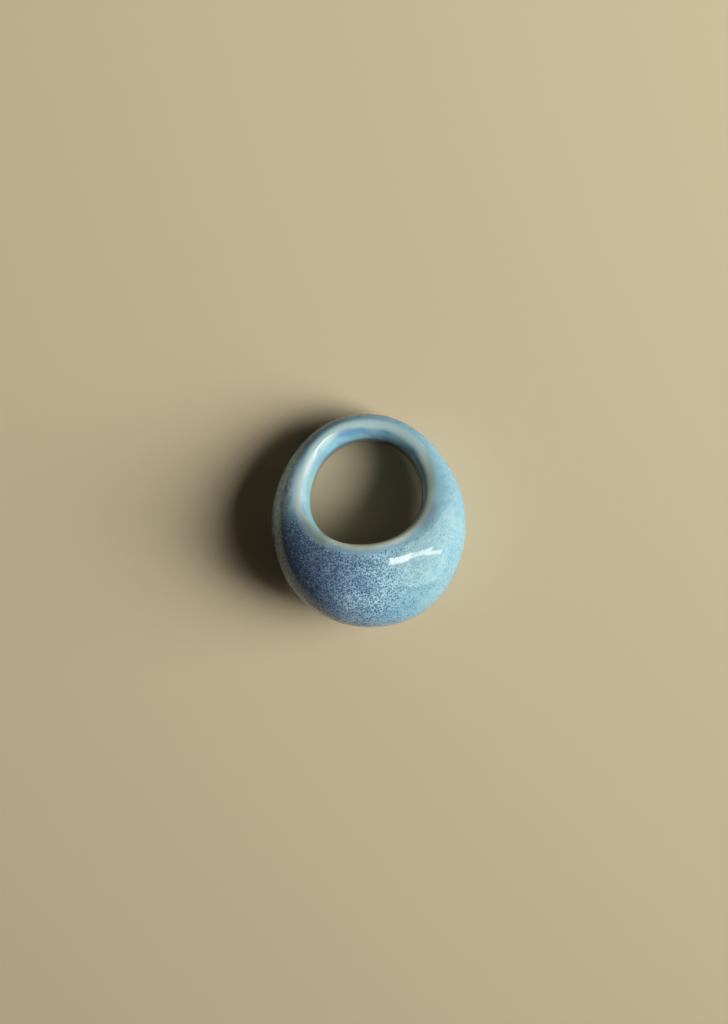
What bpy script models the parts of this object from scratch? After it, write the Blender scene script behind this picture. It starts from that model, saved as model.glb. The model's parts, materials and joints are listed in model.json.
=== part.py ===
"""A glazed ceramic ring slide, worn on a finger: a narrow band that swells into a round dome.

The ring is drawn in its own coordinates, with the finger bore along Z and the dome towards -Y,
and is then tipped until it rests on its two feet, one under the dome and one under the band.
Frame: metres, +Z up, X = 0 is the mirror plane, the dome points to -Y, and the origin is at the
middle of the base of the whole ring's box.
"""

import math

import bmesh
import bpy

MM = 0.001

# The finger bore and the reach of the clay around it, as radii from the bore's axis.
BORE_RADIUS = 9.2 * MM
BAND_REACH = 13.5 * MM
DOME_REACH = 22.0 * MM
DOME_FOCUS = 2.25  # a higher number draws the dome's reach in towards its middle

# Half of the ring's width along the bore, at the back of the band and at the dome.
BAND_HALF_WIDTH = 3.6 * MM
DOME_HALF_WIDTH = 7.6 * MM
WIDTH_FOCUS = 1.6

# The rounded rim between the bore wall and the crest, where the ring is widest along the bore.
BAND_LIP = 2.4 * MM
DOME_LIP = 1.5 * MM
RIM_DEPTH = 3.0 * MM
RIM_POWER = 2.2
OUTSIDE_POWER = 2.1  # 2 is an ellipse, and more is squarer

GLAZE_THICKNESS = 0.5 * MM
GAP = 0.3 * MM
CLAY_INSET = GLAZE_THICKNESS + GAP

# Bare clay feet under both rims, which stand through oval windows in the glaze.
DOME_FOOT_HALF = (3.0 * MM, 0.9 * MM)
DOME_FOOT_SHIFT = -0.5 * MM  # from where the rim would touch, away from the bore
BAND_FOOT_HALF = (2.2 * MM, 0.9 * MM)
BAND_FOOT_SHIFT = 0.0
FOOT_STAND = 0.2 * MM  # how far the feet hold the glazed rims off the surface
FOOT_TOP = 2.2 * MM
WINDOW_TOP = 2.6 * MM
FOOT_SIDES = 24

STATIONS = 72  # sections around the bore
OUTSIDE_STEPS = 14  # points over the outside of one section, crest to crest
RIM_STEPS = 4  # points around one rim
WALL_STEPS = 2  # points along the straight half of the bore wall

CLAY_COLOUR = (0.62, 0.52, 0.40)
OUTER_GLAZE_COLOUR = (0.33, 0.50, 0.62)
BORE_GLAZE_COLOUR = (0.24, 0.38, 0.55)


# The shape of the ring: its sizes at an angle from the dome, and the section there.


def swell(angle, focus):
    """1 in the middle of the dome, 0 at the back of the band."""
    return ((1 + math.cos(angle)) / 2) ** focus


def blend(band_value, dome_value, share):
    return band_value + (dome_value - band_value) * share


def section_sizes(angle, inset):
    """The crest's radius, and the section's sizes around it, drawn in by inset."""
    width_share = swell(angle, WIDTH_FOCUS)
    lip = blend(BAND_LIP, DOME_LIP, width_share)
    crest = BORE_RADIUS + lip
    outside = blend(BAND_REACH, DOME_REACH, swell(angle, DOME_FOCUS)) - crest
    half_width = blend(BAND_HALF_WIDTH, DOME_HALF_WIDTH, width_share)
    return crest, lip - inset, outside - inset, half_width - inset, RIM_DEPTH - inset


def power(value, exponent):
    return math.copysign(abs(value) ** exponent, value)


def outside_curve(angle, inset, end_gap=0.0):
    """(radius, height) points from the top crest over the outside to the bottom crest."""
    crest, _, outside, half_width, _ = section_sizes(angle, inset)
    start = math.asin(min(1.0, end_gap / outside))
    points = []
    for step in range(OUTSIDE_STEPS + 1):
        turn = start + (math.pi - 2 * start) * step / OUTSIDE_STEPS
        radius = crest + outside * power(math.sin(turn), 2 / OUTSIDE_POWER)
        height = half_width * power(math.cos(turn), 2 / OUTSIDE_POWER)
        points.append((radius, height))
    return points


def rim_curve(angle, inset, end_gap=0.0):
    """(radius, height) points from the top crest round the rim to the bore wall."""
    crest, lip, _, half_width, depth = section_sizes(angle, inset)
    start = math.asin(min(1.0, end_gap / lip))
    points = []
    for step in range(RIM_STEPS + 1):
        turn = start + (math.pi / 2 - start) * step / RIM_STEPS
        radius = crest - lip * power(math.sin(turn), 2 / RIM_POWER)
        height = half_width - depth * (1 - power(math.cos(turn), 2 / RIM_POWER))
        points.append((radius, height))
    return points


def bore_curve(angle, inset, end_gap=0.0):
    """(radius, height) points from the top crest down the bore to the bottom crest."""
    upper = rim_curve(angle, inset, end_gap)
    wall_radius, wall_top = upper[-1]
    for step in range(1, WALL_STEPS):
        upper.append((wall_radius, wall_top * (1 - step / WALL_STEPS)))
    lower = [(radius, -height) for radius, height in reversed(upper)]
    return upper + [(wall_radius, 0.0)] + lower


def clay_section(angle):
    outside = outside_curve(angle, CLAY_INSET)
    bore = bore_curve(angle, CLAY_INSET)
    return outside + bore[::-1][1:-1]


def outer_glaze_section(angle):
    skin = outside_curve(angle, 0.0, GAP / 2)
    back = outside_curve(angle, GLAZE_THICKNESS, GAP / 2)
    return skin + back[::-1]


def bore_glaze_section(angle):
    skin = bore_curve(angle, 0.0, GAP / 2)
    back = bore_curve(angle, GLAZE_THICKNESS, GAP / 2)
    return back + skin[::-1]


# The resting pose: the ring tips towards the band until both rims touch the surface.


def lowest(points, tip):
    """(depth, y) of the lowest of (y, z) points after the ring is tipped by an angle."""
    sine, cosine = math.sin(tip), math.cos(tip)
    return min((z * cosine - y * sine, y * cosine + z * sine) for y, z in points)


def ring_section(angle):
    return outside_curve(angle, 0.0) + bore_curve(angle, 0.0)


def resting_tip():
    """The tip angle at which dome and band reach equally far down, found by halving."""
    dome = [(-radius, height) for radius, height in ring_section(0.0)]
    band = [(radius, height) for radius, height in ring_section(math.pi)]
    low, high = 0.0, math.radians(45)
    for _ in range(40):
        tip = (low + high) / 2
        if lowest(dome, tip)[0] < lowest(band, tip)[0]:
            low = tip
        else:
            high = tip
    return tip, lowest(dome, tip), lowest(band, tip)


def extent_along_y(tip):
    """The nearest and furthest y that the tipped ring's outside reaches."""
    ys = []
    for station in range(STATIONS):
        angle = 2 * math.pi * station / STATIONS
        for radius, height in outside_curve(angle, 0.0, GAP / 2):
            y = -radius * math.cos(angle)
            ys.append(y * math.cos(tip) + height * math.sin(tip))
    return min(ys), max(ys)


# Blender objects.


def clear_scene():
    for item in list(bpy.data.objects):
        bpy.data.objects.remove(item, do_unlink=True)


def new_material(name, colour, roughness):
    material = bpy.data.materials.new(name)
    material.use_nodes = True
    shader = material.node_tree.nodes["Principled BSDF"]
    shader.inputs["Base Color"].default_value = (*colour, 1.0)
    shader.inputs["Roughness"].default_value = roughness
    shader.inputs["Metallic"].default_value = 0.0
    return material


def new_object(name, bm, material=None):
    bmesh.ops.recalc_face_normals(bm, faces=bm.faces)
    mesh = bpy.data.meshes.new(name)
    bm.to_mesh(mesh)
    bm.free()
    item = bpy.data.objects.new(name, mesh)
    bpy.context.scene.collection.objects.link(item)
    if material:
        mesh.materials.append(material)
        mesh.shade_smooth()
        mesh.set_sharp_from_angle(angle=math.radians(40))
    return item


def sweep(name, section_at, material, parent):
    """A closed solid: one section at each station around the bore, joined into a loop."""
    bm = bmesh.new()
    loops = []
    for station in range(STATIONS):
        angle = 2 * math.pi * station / STATIONS
        side, ahead = math.sin(angle), -math.cos(angle)
        loops.append([bm.verts.new((r * side, r * ahead, z)) for r, z in section_at(angle)])
    for here, there in zip(loops, loops[1:] + loops[:1]):
        count = len(here)
        for i in range(count):
            j = (i + 1) % count
            bm.faces.new((here[i], here[j], there[j], there[i]))
    item = new_object(name, bm, material)
    item.parent = parent
    return item


def oval_block(name, centre_y, half_sizes, bottom, top):
    """An upright oval prism, used to add a foot or to cut a window."""
    bm = bmesh.new()
    ring = []
    for side in range(FOOT_SIDES):
        angle = 2 * math.pi * side / FOOT_SIDES
        x, y = half_sizes[0] * math.cos(angle), half_sizes[1] * math.sin(angle)
        ring.append(bm.verts.new((x, centre_y + y, bottom)))
    base = bm.faces.new(ring)
    lifted = bmesh.ops.extrude_face_region(bm, geom=[base])["geom"]
    corners = [part for part in lifted if isinstance(part, bmesh.types.BMVert)]
    bmesh.ops.translate(bm, verts=corners, vec=(0.0, 0.0, top - bottom))
    item = new_object(name, bm)
    item.hide_render = True
    item.display_type = "WIRE"
    return item


def add_boolean(item, other, operation):
    modifier = item.modifiers.new(other.name, "BOOLEAN")
    modifier.operation = operation
    modifier.object = other
    modifier.solver = "EXACT"


def add_foot(clay, coats, name, centre_y, half_sizes):
    """A foot on the clay, and the window that it stands through in the glaze coats."""
    foot = oval_block(name, centre_y, half_sizes, 0.0, FOOT_TOP)
    add_boolean(clay, foot, "UNION")
    opening = (half_sizes[0] + GAP, half_sizes[1] + GAP)
    window = oval_block(name + "_window", centre_y, opening, -MM, WINDOW_TOP)
    for coat in coats:
        add_boolean(coat, window, "DIFFERENCE")


def main():
    clear_scene()
    tip, dome_touch, band_touch = resting_tip()
    nearest, furthest = extent_along_y(tip)
    middle = (nearest + furthest) / 2

    ring_axis = bpy.data.objects.new("ring_axis", None)
    bpy.context.scene.collection.objects.link(ring_axis)
    ring_axis.rotation_euler = (-tip, 0.0, 0.0)
    ring_axis.location = (0.0, -middle, FOOT_STAND - dome_touch[0])

    clay = new_material("fired_clay", CLAY_COLOUR, 0.85)
    outer = new_material("speckled_glaze", OUTER_GLAZE_COLOUR, 0.12)
    lining = new_material("lining_glaze", BORE_GLAZE_COLOUR, 0.15)
    clay_body = sweep("clay_body", clay_section, clay, ring_axis)
    outer_glaze = sweep("outer_glaze", outer_glaze_section, outer, ring_axis)
    bore_glaze = sweep("bore_glaze", bore_glaze_section, lining, ring_axis)

    coats = (outer_glaze, bore_glaze)
    dome_foot_y = dome_touch[1] - middle + DOME_FOOT_SHIFT
    add_foot(clay_body, coats, "dome_foot", dome_foot_y, DOME_FOOT_HALF)
    band_foot_y = band_touch[1] - middle + BAND_FOOT_SHIFT
    add_foot(clay_body, coats, "band_foot", band_foot_y, BAND_FOOT_HALF)


main()
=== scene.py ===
"""The looks of the glazed ceramic ring slide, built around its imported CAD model.

Three pieces stand for the three CAD nodes: the speckled outer glaze, the smooth glaze that lines
the finger bore, and the clay core that shows only at the two feet. All three are swept from the
same section as the CAD model, so they lie where it lies, apart from the small unevenness that the
hand leaves in clay.
"""

import json
import math

import bpy
import numpy as np
from mathutils import Matrix, Vector


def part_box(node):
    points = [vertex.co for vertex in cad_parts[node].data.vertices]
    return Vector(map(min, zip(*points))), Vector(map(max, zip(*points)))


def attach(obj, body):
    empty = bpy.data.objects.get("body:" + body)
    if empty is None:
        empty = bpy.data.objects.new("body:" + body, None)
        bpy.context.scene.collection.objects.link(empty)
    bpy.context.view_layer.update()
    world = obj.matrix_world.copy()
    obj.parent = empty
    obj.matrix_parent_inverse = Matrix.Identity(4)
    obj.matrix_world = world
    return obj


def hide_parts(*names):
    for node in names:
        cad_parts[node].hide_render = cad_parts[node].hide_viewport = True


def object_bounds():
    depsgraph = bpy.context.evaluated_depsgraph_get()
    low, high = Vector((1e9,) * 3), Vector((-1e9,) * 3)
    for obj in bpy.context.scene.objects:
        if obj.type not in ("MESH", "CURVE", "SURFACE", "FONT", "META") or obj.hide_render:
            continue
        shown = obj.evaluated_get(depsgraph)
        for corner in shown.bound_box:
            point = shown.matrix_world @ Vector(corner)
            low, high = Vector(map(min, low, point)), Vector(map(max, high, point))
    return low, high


MM = 0.001

# The ring's driving dimensions, the same as the CAD model's.
BORE_RADIUS = 9.2 * MM
BAND_REACH = 13.5 * MM
DOME_REACH = 22.0 * MM
DOME_FOCUS = 2.25
BAND_HALF_WIDTH = 3.6 * MM
DOME_HALF_WIDTH = 7.6 * MM
WIDTH_FOCUS = 1.6
BAND_LIP = 2.4 * MM
DOME_LIP = 1.5 * MM
RIM_DEPTH = 3.0 * MM
RIM_POWER = 2.2
OUTSIDE_POWER = 2.1
GLAZE_THICKNESS = 0.5 * MM
FOOT_STAND = 0.2 * MM
DOME_FOOT_HALF = (3.0 * MM, 0.9 * MM)
BAND_FOOT_HALF = (2.2 * MM, 0.9 * MM)

# Round the feet the glaze sinks into the clay, and the clay comes down to the surface.
UNDERSIDE_TOP = 3.0 * MM
FACING_DOWN = -0.2  # the z of a normal, below which the clay counts as the underside
GLAZE_SINK = 0.75 * MM
GLAZE_SINK_EDGES = (0.0, 0.48 * MM)  # from the foot's outline outward
CLAY_FOOT_EDGES = (-0.10 * MM, 0.12 * MM)
CLAY_CLEARANCE = 0.02 * MM
FIT_TOLERANCE = 0.4 * MM

# How fine the sweep is: sections round the bore, and points along the parts of one section.
STATIONS = 320
OUTSIDE_STEPS = 104
RIM_STEPS = 22
WALL_STEPS = 12
ANGLE = np.arange(STATIONS) * 2 * math.pi / STATIONS
OUTSIDE_COLUMNS = OUTSIDE_STEPS + 1

# What the hand leaves in the clay: a hole that isn't quite round, a rim that is squarer on one
# side, and slow swellings.
RIM_SQUARING = 1.4
RIM_SQUARE_AT = math.radians(60.0)
HOLE_WAVES = (  # waves round the hole, reach, and where the first wave is highest, in degrees
    (1, 0.15 * MM, 0.0),
    (2, 0.19 * MM, -70.0),
    (3, 0.16 * MM, 180.0),
    (4, 0.10 * MM, 160.0),
)
HAND_WAVES = (  # height, waves along x, y and z in radians per metre, and where they start
    (0.060 * MM, (310.0, 140.0, 90.0), 0.4),
    (0.045 * MM, (-170.0, 380.0, 160.0), 1.9),
    (0.016 * MM, (520.0, -260.0, 430.0), 3.1),
    (0.008 * MM, (-640.0, -590.0, 380.0), 5.2),
)


def swell(angle, focus):
    """1 in the middle of the dome, 0 at the back of the band."""
    return ((1 + np.cos(angle)) / 2) ** focus


def power(value, exponent):
    return np.copysign(np.abs(value) ** exponent, value)


def section_sizes(angle):
    """The crest's radius, and the section's sizes around it, at each angle from the dome."""
    width_share = swell(angle, WIDTH_FOCUS)
    lip = BAND_LIP + (DOME_LIP - BAND_LIP) * width_share
    crest = BORE_RADIUS + lip
    reach = BAND_REACH + (DOME_REACH - BAND_REACH) * swell(angle, DOME_FOCUS)
    half_width = BAND_HALF_WIDTH + (DOME_HALF_WIDTH - BAND_HALF_WIDTH) * width_share
    return crest, lip, reach - crest, half_width


def hole_stray(angle):
    """How far the edge of the finger hole lies outside its circle, at each angle."""
    stray = np.zeros(len(angle))
    for count, reach, highest in HOLE_WAVES:
        stray += reach * np.cos(count * angle - math.radians(highest))
    return stray[:, None]


def rim_power(angle):
    """How square the rounding of the rim is, at each angle."""
    squared = ((1 + np.cos(angle - RIM_SQUARE_AT)) / 2) ** 2
    return (RIM_POWER + RIM_SQUARING * squared)[:, None]


def outside_curve(angle):
    """(radius, height) from the top crest over the outside to the bottom crest."""
    crest, _, outside, half_width = section_sizes(angle[:, None])
    turn = np.linspace(0.0, math.pi, OUTSIDE_COLUMNS)[None, :]
    radius = crest + outside * power(np.sin(turn), 2 / OUTSIDE_POWER)
    radius = radius + hole_stray(angle) * (1 - np.sin(turn))
    height = half_width * power(np.cos(turn), 2 / OUTSIDE_POWER)
    return radius, height


def bore_curve(angle):
    """(radius, height) from the top crest down the bore to the bottom crest."""
    crest, lip, _, half_width = section_sizes(angle[:, None])
    turn = np.linspace(0.0, math.pi / 2, RIM_STEPS + 1)[None, :]
    exponent = 2 / rim_power(angle)
    radius = crest - lip * power(np.sin(turn), exponent) + hole_stray(angle)
    height = half_width - RIM_DEPTH * (1 - power(np.cos(turn), exponent))
    down = np.linspace(1.0, -1.0, WALL_STEPS + 1)[None, 1:-1]
    wall_radius = np.repeat(radius[:, -1:], down.shape[1], axis=1)
    wall_height = height[:, -1:] * down
    return (
        np.concatenate([radius, wall_radius, radius[:, ::-1]], axis=1),
        np.concatenate([height, wall_height, -height[:, ::-1]], axis=1),
    )


def around_the_bore(angle, radius, height):
    side = radius * np.sin(angle)[:, None]
    ahead = -radius * np.cos(angle)[:, None]
    return np.stack([side, ahead, height], axis=-1)


def tipped(points, tip):
    """Points of the upright ring after it tips towards the back of the band."""
    sine, cosine = math.sin(tip), math.cos(tip)
    x, y, z = points[..., 0], points[..., 1], points[..., 2]
    return np.stack([x, y * cosine + z * sine, z * cosine - y * sine], axis=-1)


def resting_tip():
    """The tip angle at which dome and band reach equally far down, found by halving."""
    ends = np.array([0.0, math.pi])
    rims = np.concatenate(
        [
            around_the_bore(ends, *outside_curve(ends)),
            around_the_bore(ends, *bore_curve(ends)),
        ],
        axis=1,
    )
    low, high = 0.0, math.radians(45)
    for _ in range(40):
        tip = (low + high) / 2
        depths = tipped(rims, tip)[..., 2].min(axis=1)
        if depths[0] < depths[1]:
            low = tip
        else:
            high = tip
    return tip, float(depths.min())


def hand_formed(points):
    """How far the slow swellings push each point outward, in metres."""
    push = np.zeros(points.shape[:-1])
    for height, direction, start in HAND_WAVES:
        push += height * np.sin(points @ np.array(direction) + start)
    return push


def unit(vectors):
    return vectors / np.maximum(np.linalg.norm(vectors, axis=-1, keepdims=True), 1e-12)


def surface_normals(grid):
    """Outward normals of a ring surface whose both grid directions close on themselves."""
    along = np.roll(grid, -1, axis=0) - np.roll(grid, 1, axis=0)
    across = np.roll(grid, -1, axis=1) - np.roll(grid, 1, axis=1)
    return unit(np.cross(across, along))


def smooth_step(low, high, value):
    share = np.clip((value - low) / (high - low), 0.0, 1.0)
    return share * share * (3 - 2 * share)


def feet():
    """(centre y, half sizes) of each foot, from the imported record's mounts."""
    places = {mount["name"]: mount["pos_m"] for mount in frame["record"]["mounts"]}
    return (
        (places["dome_foot"][1], DOME_FOOT_HALF),
        (places["band_foot"][1], BAND_FOOT_HALF),
    )


def oval_distance(points, centre_y, half_sizes):
    """About how far outside the foot's oval each point is, seen from above, in metres."""
    x = points[..., 0] / half_sizes[0]
    y = (points[..., 1] - centre_y) / half_sizes[1]
    return (np.hypot(x, y) - 1.0) * min(half_sizes)


def make_mesh(name, points, faces, loop_normals, attributes):
    mesh = bpy.data.meshes.new(name)
    mesh.vertices.add(len(points))
    mesh.vertices.foreach_set("co", np.ascontiguousarray(points, np.float32).ravel())
    mesh.loops.add(faces.size)
    mesh.loops.foreach_set("vertex_index", np.ascontiguousarray(faces, np.int32).ravel())
    mesh.polygons.add(len(faces))
    mesh.polygons.foreach_set("loop_start", np.arange(0, faces.size, 4, dtype=np.int32))
    mesh.polygons.foreach_set("use_smooth", np.ones(len(faces), bool))
    mesh.update(calc_edges=True)
    for key, values in attributes.items():
        layer = mesh.attributes.new(key, "FLOAT", "POINT")
        layer.data.foreach_set("value", np.ascontiguousarray(values, np.float32).ravel())
    mesh.validate()
    mesh.normals_split_custom_set(loop_normals.reshape(-1, 3).tolist())
    item = bpy.data.objects.new(name, mesh)
    bpy.context.scene.collection.objects.link(item)
    return item


def strip_faces(rows, columns, first, flip):
    """Quads of a strip that closes along its rows and stays open across its columns."""
    row = np.arange(rows)[:, None]
    column = np.arange(columns - 1)[None, :] + first
    here = row * columns + column
    there = (row + 1) % rows * columns + column
    quads = np.stack([here, here + 1, there + 1, there], axis=-1).reshape(-1, 4)
    return quads[:, ::-1] if flip else quads


def arc_lengths(grid):
    """Distance along each section from its first column."""
    steps = np.linalg.norm(np.diff(grid, axis=1), axis=-1)
    return np.concatenate([np.zeros((len(grid), 1)), np.cumsum(steps, axis=1)], axis=1)


def ring_grid():
    """The whole section, outside first and bore after it, swept round the finger bore."""
    out_radius, out_height = outside_curve(ANGLE)
    in_radius, in_height = bore_curve(ANGLE)
    radius = np.concatenate([out_radius, in_radius[:, ::-1][:, 1:-1]], axis=1)
    height = np.concatenate([out_height, in_height[:, ::-1][:, 1:-1]], axis=1)
    tip, depth = resting_tip()
    points = tipped(around_the_bore(ANGLE, radius, height), tip)
    points[..., 1] -= (points[..., 1].min() + points[..., 1].max()) / 2
    points[..., 2] += FOOT_STAND - depth
    return points


def hand_made_ring():
    """The ring's surface and its normals, with the swellings that the hand leaves."""
    even = ring_grid()
    points = even + hand_formed(even)[..., None] * surface_normals(even)
    return points, surface_normals(points)


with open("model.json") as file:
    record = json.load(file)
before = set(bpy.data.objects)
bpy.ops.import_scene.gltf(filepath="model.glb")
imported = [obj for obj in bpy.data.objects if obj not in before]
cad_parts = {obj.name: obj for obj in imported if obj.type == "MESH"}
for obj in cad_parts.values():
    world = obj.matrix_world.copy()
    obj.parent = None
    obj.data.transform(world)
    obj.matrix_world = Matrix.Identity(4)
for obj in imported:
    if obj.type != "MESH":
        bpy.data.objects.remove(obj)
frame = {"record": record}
cad_low, cad_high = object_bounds()

SKIN, NORMALS = hand_made_ring()


def from_nearer_end(grid):
    """In mm, how far along its section each point is from the nearer end of the section."""
    lengths = arc_lengths(grid)
    return np.minimum(lengths, lengths[:, -1:] - lengths) / MM


def sunk_at_feet(points):
    """Points of a glaze coat, drawn into the clay where a foot stands bare."""
    sink = np.zeros(points.shape[:-1])
    low = points[..., 2] < UNDERSIDE_TOP
    for centre_y, half_sizes in feet():
        distance = oval_distance(points, centre_y, half_sizes)
        share = 1 - smooth_step(*GLAZE_SINK_EDGES, distance)
        sink = np.maximum(sink, share * low)
    return points - NORMALS * (sink * GLAZE_SINK)[..., None]


def edge_faces(rows, count):
    """The quads that close a coat along its first and its last column, skin to back."""
    size = rows * count
    here = np.arange(rows) * count
    there = (np.arange(rows) + 1) % rows * count
    start = np.stack([here, there, there + size, here + size], axis=-1)
    end = np.stack([here + size, there + size, there, here], axis=-1) + (count - 1)
    return np.concatenate([start, end])


def glaze_piece(name, columns, node, from_rim, material):
    """One glaze coat: its skin, its back against the clay, and the two edges at the crests."""
    skin = sunk_at_feet(SKIN)[:, columns]
    back = sunk_at_feet(SKIN - NORMALS * GLAZE_THICKNESS)[:, columns]
    normals = NORMALS[:, columns].reshape(-1, 3)
    rows, count = skin.shape[:2]
    points = np.concatenate([skin.reshape(-1, 3), back.reshape(-1, 3)])
    front = strip_faces(rows, count, 0, False)
    rear = strip_faces(rows, count, rows * count, True)
    edges = edge_faces(rows, count)
    corners = points[edges]
    facing = unit(np.cross(corners[:, 2] - corners[:, 0], corners[:, 3] - corners[:, 1]))
    faces = np.concatenate([front, rear, edges])
    loop_normals = np.concatenate([normals, -normals])[faces]
    loop_normals[-len(edges) :] = facing[:, None, :]
    dome = np.repeat(swell(ANGLE, 1.0), count)
    attributes = {
        "from_rim": np.tile(from_rim.ravel(), 2),
        "dome": np.tile(dome, 2),
        "aside": points[:, 0] / MM,
    }
    item = make_mesh(name, points, faces, loop_normals, attributes)
    item.data.materials.append(material)
    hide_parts(node)
    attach(item, "root")


def clay_piece(material):
    """The clay core: under the glaze all over, and down to the surface at the feet."""
    points = SKIN - NORMALS * (GLAZE_THICKNESS + CLAY_CLEARANCE)
    for centre_y, half_sizes in feet():
        distance = oval_distance(points, centre_y, half_sizes)
        under = (points[..., 2] < UNDERSIDE_TOP) & (NORMALS[..., 2] < FACING_DOWN)
        share = (1 - smooth_step(*CLAY_FOOT_EDGES, distance)) * under
        points[..., 2] *= 1 - share
    normals = surface_normals(points).reshape(-1, 3)
    rows, count = points.shape[:2]
    places = np.arange(rows * count).reshape(rows, count)
    here, right = places, np.roll(places, -1, axis=1)
    there, corner = np.roll(here, -1, axis=0), np.roll(right, -1, axis=0)
    faces = np.stack([here, right, corner, there], axis=-1).reshape(-1, 4)
    item = make_mesh("clay_core", points.reshape(-1, 3), faces, normals[faces], {})
    item.data.materials.append(material)
    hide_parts("clay_body")
    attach(item, "root")


SPECK_SPREAD = 0.6  # the smallest speck's size, as a share of the largest
SPECK_CORE = 0.6  # how much of a speck's radius is at full strength


class Shader:
    """Short names for the nodes that the materials are wired from."""

    def __init__(self, name):
        self.material = bpy.data.materials.new(name)
        self.material.use_nodes = True
        self.tree = self.material.node_tree
        self.principled = self.tree.nodes["Principled BSDF"]
        coordinates = self.tree.nodes.new("ShaderNodeTexCoord")
        scale = self.tree.nodes.new("ShaderNodeVectorMath")
        scale.operation = "SCALE"
        scale.inputs["Scale"].default_value = 1 / MM
        self.tree.links.new(coordinates.outputs["Object"], scale.inputs[0])
        self.place = scale.outputs[0]

    def put(self, socket, value):
        if isinstance(value, bpy.types.NodeSocket):
            self.tree.links.new(value, socket)
        else:
            socket.default_value = value

    def attribute(self, name):
        node = self.tree.nodes.new("ShaderNodeAttribute")
        node.attribute_name = name
        return node.outputs["Fac"]

    def moved_place(self, shift):
        node = self.tree.nodes.new("ShaderNodeVectorMath")
        node.operation = "ADD"
        self.put(node.inputs[0], self.place)
        node.inputs[1].default_value = shift
        return node.outputs[0]

    def noise(self, per_mm, detail=2.0, roughness=0.5, distortion=0.0, shift=(0.0, 0.0, 0.0)):
        node = self.tree.nodes.new("ShaderNodeTexNoise")
        self.put(node.inputs["Vector"], self.moved_place(shift))
        node.inputs["Scale"].default_value = per_mm
        node.inputs["Detail"].default_value = detail
        node.inputs["Roughness"].default_value = roughness
        node.inputs["Distortion"].default_value = distortion
        return node.outputs["Fac"]

    def specks(self, per_mm, amount, size, shift):
        """Round specks, each in its own cell: amount is the share of cells that hold one."""
        cells = self.tree.nodes.new("ShaderNodeTexVoronoi")
        self.put(cells.inputs["Vector"], self.moved_place(shift))
        cells.inputs["Scale"].default_value = per_mm
        parts = self.tree.nodes.new("ShaderNodeSeparateColor")
        self.put(parts.inputs[0], cells.outputs["Color"])
        held = self.ramp(self.math("SUBTRACT", amount, parts.outputs[0]), 0.0, 0.06)
        reach = self.ramp(parts.outputs[1], 0.0, 1.0, size * SPECK_SPREAD, size)
        core = self.times(reach, SPECK_CORE)
        return self.times(held, self.ramp(cells.outputs["Distance"], core, reach, 1.0, 0.0))

    def ramp(self, value, low, high, start=0.0, end=1.0):
        """start below low, end above high, and a smooth change between them."""
        node = self.tree.nodes.new("ShaderNodeMapRange")
        node.interpolation_type = "SMOOTHSTEP"
        self.put(node.inputs["Value"], value)
        self.put(node.inputs["From Min"], low)
        self.put(node.inputs["From Max"], high)
        self.put(node.inputs["To Min"], start)
        self.put(node.inputs["To Max"], end)
        return node.outputs["Result"]

    def math(self, operation, first, second=0.0):
        node = self.tree.nodes.new("ShaderNodeMath")
        node.operation = operation
        self.put(node.inputs[0], first)
        self.put(node.inputs[1], second)
        return node.outputs[0]

    def times(self, first, *others):
        """The product of all the values."""
        for other in others:
            first = self.math("MULTIPLY", first, other)
        return first

    def mix(self, share, first, second):
        node = self.tree.nodes.new("ShaderNodeMix")
        node.data_type = "RGBA"
        self.put(node.inputs["Factor"], share)
        for key, colour in (("A", first), ("B", second)):
            socket = [s for s in node.inputs if s.name == key and s.type == "RGBA"][0]
            self.put(socket, colour if isinstance(colour, bpy.types.NodeSocket) else (*colour, 1.0))
        return [s for s in node.outputs if s.type == "RGBA"][0]

    def bump(self, height, strength, distance):
        node = self.tree.nodes.new("ShaderNodeBump")
        node.inputs["Strength"].default_value = strength
        node.inputs["Distance"].default_value = distance
        self.put(node.inputs["Height"], height)
        self.put(self.principled.inputs["Normal"], node.outputs["Normal"])


BAND_CREAM = (0.45, 0.61, 0.60)
# Cream at the band's sides, made bluish-white: the glaze's cream, with painted highlight on the -X
# crest.
SIDE_CREAM_AND_SHEEN = (0.54, 0.64, 0.61)
DOME_CREAM = (0.68, 0.75, 0.61)
SHADED_CREAM = (0.31, 0.33, 0.25)
DULL_CREAM = (0.23, 0.29, 0.25)
PALE_BLUE = (0.50, 0.76, 0.90)
TURQUOISE = (0.26, 0.45, 0.49)
SEA_BLUE = (0.22, 0.41, 0.43)
SKY_BLUE = (0.24, 0.46, 0.56)
MID_BLUE = (0.13, 0.30, 0.47)
MAUVE_BLUE = (0.15, 0.23, 0.44)
SHOULDER_PALE_AND_LIT = (0.55, 0.80, 0.95)
DUSK_BLUE = (0.115, 0.125, 0.20)
HAZE_BLUE = (0.12, 0.25, 0.46)
HAZE_TEAL = (0.12, 0.36, 0.46)
COBALT = (0.025, 0.075, 0.185)
TEAL = (0.03, 0.17, 0.27)
WALL_SHADE = (0.055, 0.054, 0.057)
LINING_CREAM = (0.60, 0.50, 0.35)

# Where the glaze thins to cream over the rim, in mm outward from the crest: it sets in, is full,
# starts to fade and is gone, at the back of the band, at its sides and at the dome.
BAND_CREAM_EDGES = (-1.45, -0.55, -0.15, 0.85)
SIDE_CREAM_EDGES = (-1.8, -1.1, -0.6, 0.25)
DOME_CREAM_EDGES = (-2.6, -1.7, -1.0, 0.3)
CREAM_SHIFT = 0.70  # in mm, how much further out the cream lies on the -X side, where it follows the crest's highlight as painted highlight
CREAM_DRIFT = 0.3  # in mm, how far it wanders either way

DOME_EDGES = (0.56, 0.82)  # the share of the dome where its colours set in and are full
SPECKLE_EDGES = (0.68, 0.86)
CREST_EDGES = (-0.3, 1.2)  # in mm from the crest, where the dome's colours set in and are full
LOWER_EDGES = (7.0, 13.0)  # in mm from the crest, where the glaze darkens towards the equator
WALL_EDGES = (-4.6, -2.9)  # in mm from the crest, where the bore's shade is full and sets in
LINING_EDGES = (-5.6, -4.6)

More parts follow.
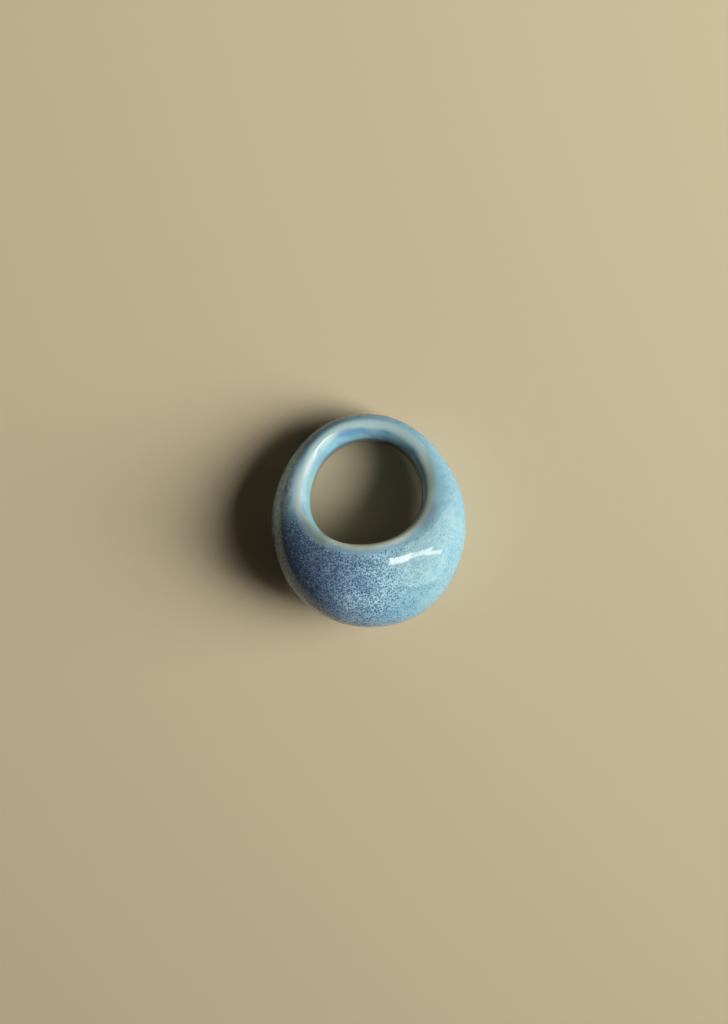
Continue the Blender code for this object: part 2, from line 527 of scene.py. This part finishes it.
FINE_SPECKS = {"per_mm": 5.2, "size": 0.80, "shift": (3.0, 1.0, 8.0)}
COARSE_SPECKS = {"per_mm": 3.1, "size": 0.62, "shift": (0.0, 6.0, 2.0)}
PALE_SPECKS = {"per_mm": 3.9, "size": 0.70, "shift": (9.0, 2.0, 4.0)}


class Glaze(Shader):
    """The glaze, with the places on the ring and the noises that its colours share."""

    def __init__(self, name):
        super().__init__(name)
        self.from_rim = self.attribute("from_rim")
        self.dome = self.attribute("dome")
        self.aside = self.attribute("aside")
        self.cloud = self.noise(0.26, 3.0, 0.55, 0.4)
        self.patch = self.noise(0.17, 2.0, 0.5, 0.2, (7.0, 3.0, 5.0))
        self.mottle = self.noise(1.1, 3.0, 0.6, 0.6, (2.0, 9.0, 4.0))
        self.grain = self.noise(2.3, 2.0, 0.6)
        self.flecks = self.noise(3.4, 2.0, 0.65, 0.3, (5.0, 4.0, 6.0))

    def by_rim(self, low, high, start=0.0, end=1.0):
        """A change over mm outward from the nearer crest, negative in the bore."""
        return self.ramp(self.from_rim, low, high, start, end)

    def by_dome(self, low, high, start=0.0, end=1.0):
        """A change over the share of the dome: 0 at the back of the band, 1 in its middle."""
        return self.ramp(self.dome, low, high, start, end)

    def by_side(self, low, high, start=0.0, end=1.0):
        """A change over mm along X."""
        return self.ramp(self.aside, low, high, start, end)


def thinning(glaze):
    """How far the glaze has thinned to cream over the rim, from 0 to 1."""
    drift = glaze.ramp(glaze.cloud, 0.25, 0.75, -CREAM_DRIFT, CREAM_DRIFT)
    # The -X side, away from the window, where the cream lies further out.
    shaded_side = glaze.times(glaze.by_side(-9.0, -5.0, 1.0, 0.0), glaze.by_dome(0.25, 0.45))
    from_crest = glaze.math("ADD", glaze.from_rim, drift)
    from_crest = glaze.math("ADD", from_crest, glaze.times(shaded_side, -CREAM_SHIFT))
    edges = []
    for band, side, front in zip(BAND_CREAM_EDGES, SIDE_CREAM_EDGES, DOME_CREAM_EDGES):
        to_side = glaze.by_dome(0.1, 0.45, band, side)
        to_dome = glaze.by_dome(0.55, 0.9, 0.0, front - side)
        edges.append(glaze.math("ADD", to_side, to_dome))
    setting_in = glaze.ramp(from_crest, edges[0], edges[1])
    return glaze.times(setting_in, glaze.ramp(from_crest, edges[2], edges[3], 1.0, 0.0))


def band_blue(glaze):
    """The cloudy blue of the band and of the bore near the rim."""
    colour = glaze.mix(glaze.ramp(glaze.cloud, 0.33, 0.66), MID_BLUE, SKY_BLUE)
    colour = glaze.mix(glaze.by_side(6.0, 13.0, 0.0, 0.9), colour, TURQUOISE)
    in_bore = glaze.times(glaze.by_side(-9.0, -4.0, 1.0, 0.0), glaze.by_rim(-1.2, -0.4, 1.0, 0.0))
    return glaze.mix(in_bore, colour, SEA_BLUE)


def with_patches(glaze, body, on_dome):
    """The body with mauve patches, streaks, blotches, and painted light on a paler -X shoulder."""
    mauve = glaze.times(
        glaze.ramp(glaze.patch, 0.44, 0.62, 0.0, 0.75),
        glaze.by_side(-8.0, 6.0, 1.0, 0.0),
        glaze.ramp(on_dome, 0.0, 0.6, 0.35, 1.0),
    )
    body = glaze.mix(mauve, body, MAUVE_BLUE)
    streaks = glaze.times(on_dome, glaze.ramp(glaze.mottle, 0.38, 0.62, 0.25, 0.0))
    body = glaze.mix(streaks, body, MID_BLUE)
    # Partly painted light: the -X shoulder is smooth pale glaze, lightened further to stand in for
    # fill light on this side away from the window.
    shoulder = glaze.times(
        glaze.by_dome(0.52, 0.66, 1.0, 0.0),
        glaze.by_side(-12.0, -9.0, 0.9, 0.0),
        glaze.by_rim(3.5, 7.0, 1.0, 0.25),
    )
    body = glaze.mix(shoulder, body, SHOULDER_PALE_AND_LIT)
    blotches = glaze.times(
        glaze.math("SUBTRACT", glaze.by_rim(0.3, 1.5), on_dome),
        glaze.by_dome(0.05, 0.4, 0.4, 1.0),
        glaze.ramp(glaze.mottle, 0.36, 0.64, 0.5, 0.0),
    )
    return glaze.mix(blotches, body, MID_BLUE)


def with_shades(glaze, body, shaded_side):
    """The body where it turns darker: painted shade to the -X side, away from the window, by the
    rim, and down by the equator.
    """
    # Painted shade: the -X side of the dome, away from the window, is mixed towards dusk blue.
    body = glaze.mix(shaded_side, body, DUSK_BLUE)
    grey_edge = glaze.times(
        glaze.by_dome(0.60, 0.70),
        glaze.by_dome(0.80, 0.88, 1.0, 0.0),
        glaze.by_side(4.0, 7.0),
        glaze.by_rim(0.4, 1.8, 0.45, 0.0),
    )
    body = glaze.mix(grey_edge, body, DUSK_BLUE)
    # Cobalt clots, set only on the -X side of the dome: glaze clots, and partly painted shade.
    clots = glaze.times(
        glaze.by_dome(0.57, 0.70),
        glaze.by_side(-8.0, -4.0, 0.8, 0.0),
        glaze.by_dome(0.76, 0.88, 1.0, 0.35),
        glaze.by_rim(0.2, 1.6),
        glaze.ramp(glaze.flecks, 0.44, 0.58, 1.0, 0.0),
    )
    body = glaze.mix(clots, body, COBALT)
    below = glaze.times(glaze.by_rim(*LOWER_EDGES, 0.0, 0.7), glaze.by_side(2.0, 10.0, 1.0, 0.25))
    return glaze.mix(below, body, MID_BLUE)


def with_specks(glaze, body, shaded_side):
    """The body under dark specks, a haze of blue flecks, and pale specks."""
    # Dark specks thicken towards -X: partly the glaze's own speckle, partly painted shade on the
    # side away from the window.
    amount = glaze.times(
        glaze.by_rim(0.0, 1.3),
        glaze.by_dome(*SPECKLE_EDGES),
        glaze.by_rim(*LOWER_EDGES, 1.0, 0.6),
        glaze.by_side(-8.5, 6.0, 1.1, 0.54),
        glaze.ramp(glaze.mottle, 0.36, 0.64, 1.25, 0.7),
    )
    near_limb = glaze.by_side(-14.5, -10.5, 0.35, 1.0)
    fainter = glaze.times(glaze.by_side(0.0, 10.0, 1.0, 0.50), near_limb)
    lighter_side = glaze.by_side(-3.0, 6.0)
    speck_colour = glaze.mix(lighter_side, COBALT, TEAL)
    colour = body
    for kind, strength in ((FINE_SPECKS, 0.84), (COARSE_SPECKS, 0.85)):
        specks = glaze.specks(amount=amount, **kind)
        colour = glaze.mix(glaze.times(specks, fainter, strength), colour, speck_colour)
    haze = glaze.times(
        glaze.by_rim(0.5, 1.8),
        glaze.ramp(glaze.flecks, 0.42, 0.60),
        glaze.ramp(glaze.mottle, 0.36, 0.60, 0.55, 0.12),
        near_limb,
        glaze.by_rim(6.0, 10.0, 1.0, 0.35),
    )
    colour = glaze.mix(haze, colour, glaze.mix(lighter_side, HAZE_BLUE, HAZE_TEAL))
    pale_amount = glaze.times(amount, glaze.by_side(-4.0, 6.0, 0.6, 0.0), near_limb)
    pale = glaze.specks(amount=pale_amount, **PALE_SPECKS)
    # Painted shade: pale specks turn dusk blue on the -X side, away from the window.
    pale_colour = glaze.mix(glaze.times(shaded_side, 0.6), PALE_BLUE, DUSK_BLUE)
    return glaze.mix(glaze.times(pale, 0.6), colour, pale_colour)


def with_cream(glaze, colour):
    """The colour under the cream of the rims, darkened on the +X rim as painted shade, and duller
    in places.
    """
    cream = glaze.mix(glaze.by_dome(0.1, 0.4), BAND_CREAM, SIDE_CREAM_AND_SHEEN)
    cream = glaze.mix(glaze.by_dome(0.70, 0.98), cream, DOME_CREAM)
    # Painted shade: the cream of the +X rim, whose inner slope faces away from the window, turns
    # grey.
    shade_on_cream = glaze.times(glaze.by_side(4.0, 9.0), glaze.by_dome(0.2, 0.5))
    cream = glaze.mix(shade_on_cream, cream, SHADED_CREAM)
    duller = glaze.times(
        glaze.by_dome(0.60, 0.74),
        glaze.by_dome(0.86, 0.95, 1.0, 0.0),
        glaze.by_side(-8.0, -4.0, 0.95, 0.0),
    )
    cream = glaze.mix(duller, cream, DULL_CREAM)
    at_sides = glaze.times(glaze.by_dome(0.1, 0.4), glaze.by_dome(0.6, 0.9, 1.0, 0.0))
    strength = glaze.ramp(at_sides, 0.0, 1.0, 0.88, 0.78)
    return glaze.mix(glaze.times(thinning(glaze), strength), colour, cream)


def glaze_material(name):
    """Pale blue glaze: cream where it thins over the rims, cobalt speckle over the dome."""
    glaze = Glaze(name)
    on_dome = glaze.times(glaze.by_rim(*CREST_EDGES), glaze.by_dome(*DOME_EDGES))
    # The -X side of the dome, away from the window, where the glaze gets painted shade.
    shaded_side = glaze.times(
        glaze.by_side(-10.5, -3.0, 0.85, 0.0), glaze.by_dome(0.62, 0.77), glaze.by_rim(*CREST_EDGES)
    )
    dome_blue = glaze.mix(glaze.by_side(-1.0, 8.0), PALE_BLUE, TURQUOISE)
    colour = glaze.mix(on_dome, band_blue(glaze), dome_blue)
    colour = with_patches(glaze, colour, on_dome)
    colour = with_shades(glaze, colour, shaded_side)
    colour = with_specks(glaze, colour, shaded_side)
    colour = with_cream(glaze, colour)
    colour = glaze.mix(glaze.by_rim(*WALL_EDGES, 0.85, 0.0), colour, WALL_SHADE)
    colour = glaze.mix(glaze.by_rim(*LINING_EDGES, 1.0, 0.0), colour, LINING_CREAM)

    inputs = glaze.principled.inputs
    glaze.put(inputs["Base Color"], colour)
    glaze.put(inputs["Roughness"], glaze.ramp(glaze.grain, 0.3, 0.7, 0.05, 0.09))
    inputs["Coat Weight"].default_value = 0.3
    inputs["Coat Roughness"].default_value = 0.03
    inputs["IOR"].default_value = 1.5
    glaze.bump(glaze.grain, strength=0.012, distance=0.02 * MM)
    return glaze.material


DARK_TAN = (0.50, 0.38, 0.26)
PALE_TAN = (0.66, 0.55, 0.42)
GRIT_BROWN = (0.34, 0.24, 0.16)
IRON_BROWN = (0.10, 0.06, 0.04)


def clay_material():
    """Bare fired stoneware: warm tan, gritty, with iron specks."""
    shader = Shader("bare_clay")
    grit = shader.noise(9.0, 4.0, 0.7)
    iron = shader.noise(5.0, 1.0, 0.5, 0.0, (4.0, 8.0, 1.0))
    stain = shader.noise(0.6, 2.0, 0.5)
    tan = shader.mix(shader.ramp(stain, 0.3, 0.7), DARK_TAN, PALE_TAN)
    gritty = shader.mix(shader.ramp(grit, 0.40, 0.62, 0.0, 0.35), tan, GRIT_BROWN)
    colour = shader.mix(shader.ramp(iron, 0.68, 0.74, 0.0, 0.8), gritty, IRON_BROWN)
    shader.put(shader.principled.inputs["Base Color"], colour)
    shader.put(shader.principled.inputs["Roughness"], shader.ramp(grit, 0.3, 0.7, 0.75, 0.95))
    shader.bump(grit, strength=0.5, distance=0.06 * MM)
    return shader.material


FLOOR_COLOUR = (0.56, 0.48, 0.325)
FLOOR_SIZE = 3.0


def make_floor():
    mesh = bpy.data.meshes.new("floor")
    half = FLOOR_SIZE / 2
    mesh.from_pydata(
        [(-half, -half, 0), (half, -half, 0), (half, half, 0), (-half, half, 0)],
        [],
        [(0, 1, 2, 3)],
    )
    floor = bpy.data.objects.new("floor", mesh)
    bpy.context.scene.collection.objects.link(floor)
    material = bpy.data.materials.new("plain_sand")
    material.use_nodes = True
    shader = material.node_tree.nodes["Principled BSDF"]
    shader.inputs["Base Color"].default_value = (*FLOOR_COLOUR, 1.0)
    shader.inputs["Roughness"].default_value = 0.95
    shader.inputs["Specular IOR Level"].default_value = 0.1
    mesh.materials.append(material)


WINDOW_COLOUR = (1.0, 0.985, 0.95)
WINDOW_AIM = (0.0, 0.33, 0.0)
WINDOW_SPREAD = math.radians(90)
PALE_WALL_COLOUR = (1.0, 0.88, 0.70)
PANE_COLOUR = (1.0, 0.95, 0.86)
ROOM_DISTANCE = 1.0
PANE_DISTANCE = 0.6
PANES = (  # name, first and last (azimuth, elevation) in degrees, width in metres, and watts
    ("curtain", (-6, -6), (-6, 84), 0.69, 3.6),
    ("upper_pane", (38, 78.5), (15, 65), 0.085, 0.42),
    ("lower_pane", (14, 64.5), (1, 47), 0.05, 0.21),
    ("side_pane", (0.5, 54), (-9.6, 28), 0.03, 0.17),
)
ROOM_COLOUR = (1.0, 0.84, 0.62, 1.0)
ROOM_STRENGTH = 0.035


def direction(azimuth, elevation):
    """Unit vector towards a light: azimuth from +X towards +Y, elevation above the floor."""
    a, e = math.radians(azimuth), math.radians(elevation)
    return Vector((math.cos(a) * math.cos(e), math.sin(a) * math.cos(e), math.sin(e)))


def flat_light(name, first, last, width, watts, distance, colour, target):
    """A flat light facing the target, as long as the arc from the first to the last direction.

    Directions are (azimuth, elevation) in degrees, and width and distance are in metres.
    """
    start, end = direction(*first), direction(*last)
    towards = (start + end).normalized()
    along = (end - start).normalized()
    light = bpy.data.lights.new(name, "AREA")
    light.shape = "RECTANGLE"
    light.size = (end - start).length * distance
    light.size_y = width
    light.energy = watts
    light.color = colour
    item = bpy.data.objects.new(name, light)
    bpy.context.scene.collection.objects.link(item)
    turn = Matrix((along, towards.cross(along), towards)).transposed()
    item.matrix_world = Matrix.Translation(Vector(target) + towards * distance) @ turn.to_4x4()
    return item


def turn_towards(item, point):
    """Turns a light about its own middle until it faces a point."""
    place = item.matrix_world.translation.copy()
    turn = (place - Vector(point)).to_track_quat("Z", "Y")
    item.matrix_world = Matrix.Translation(place) @ turn.to_matrix().to_4x4()


def light_the_scene(target):
    """A tall window, a pale wall across from it, and panes that show as reflections only."""
    window = flat_light(
        "window", (-6, 9), (-6, 54), 0.76, 7.1, ROOM_DISTANCE, WINDOW_COLOUR, target
    )
    turn_towards(window, WINDOW_AIM)
    window.data.spread = WINDOW_SPREAD
    window.visible_glossy = False
    wall = flat_light(
        "pale_wall", (172, 6), (172, 26), 0.6, 0.20, ROOM_DISTANCE, PALE_WALL_COLOUR, target
    )
    wall.visible_glossy = False
    for name, first, last, width, watts in PANES:
        pane = flat_light(name, first, last, width, watts, PANE_DISTANCE, PANE_COLOUR, target)
        pane.visible_diffuse = False
    world = bpy.data.worlds.new("room")
    world.use_nodes = True
    background = world.node_tree.nodes["Background"]
    background.inputs["Color"].default_value = ROOM_COLOUR
    background.inputs["Strength"].default_value = ROOM_STRENGTH
    bpy.context.scene.world = world


CAMERA_LENS = 85.0
CAMERA_PLACE = (-0.6 * MM, 1.4 * MM, 403.0 * MM)  # looking straight down
CAMERA_ROLL = math.radians(-5.0)


def make_camera():
    camera = bpy.data.cameras.new("camera")
    camera.lens = CAMERA_LENS
    item = bpy.data.objects.new("camera", camera)
    item.location = CAMERA_PLACE
    item.rotation_euler = (0.0, 0.0, CAMERA_ROLL)
    bpy.context.scene.collection.objects.link(item)
    bpy.context.scene.camera = item


def check_fit():
    """Stops the script if the swept section has drifted from the CAD model's coats."""
    low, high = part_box("outer_glaze")
    for axis in range(3):
        found = (float(SKIN[..., axis].min()), float(SKIN[..., axis].max()))
        for mine, theirs in zip(found, (low[axis], high[axis])):
            if abs(mine - theirs) > FIT_TOLERANCE:
                raise ValueError(f"axis {axis}: the skin is at {mine}, the CAD coat at {theirs}")


def main():
    check_fit()
    bpy.context.scene.view_settings.view_transform = "Standard"
    outer = glaze_material("speckled_glaze")
    lining = glaze_material("lining_glaze")
    outside = np.arange(OUTSIDE_COLUMNS)
    bore = np.append(np.arange(OUTSIDE_COLUMNS - 1, SKIN.shape[1]), 0)
    from_rim = from_nearer_end(SKIN[:, outside])
    glaze_piece("outer_glaze_skin", outside, "outer_glaze", from_rim, outer)
    from_rim = -from_nearer_end(SKIN[:, bore])
    glaze_piece("bore_glaze_skin", bore, "bore_glaze", from_rim, lining)
    clay_piece(clay_material())
    make_floor()
    light_the_scene((0.0, 0.0, cad_high.z / 2))
    make_camera()


main()
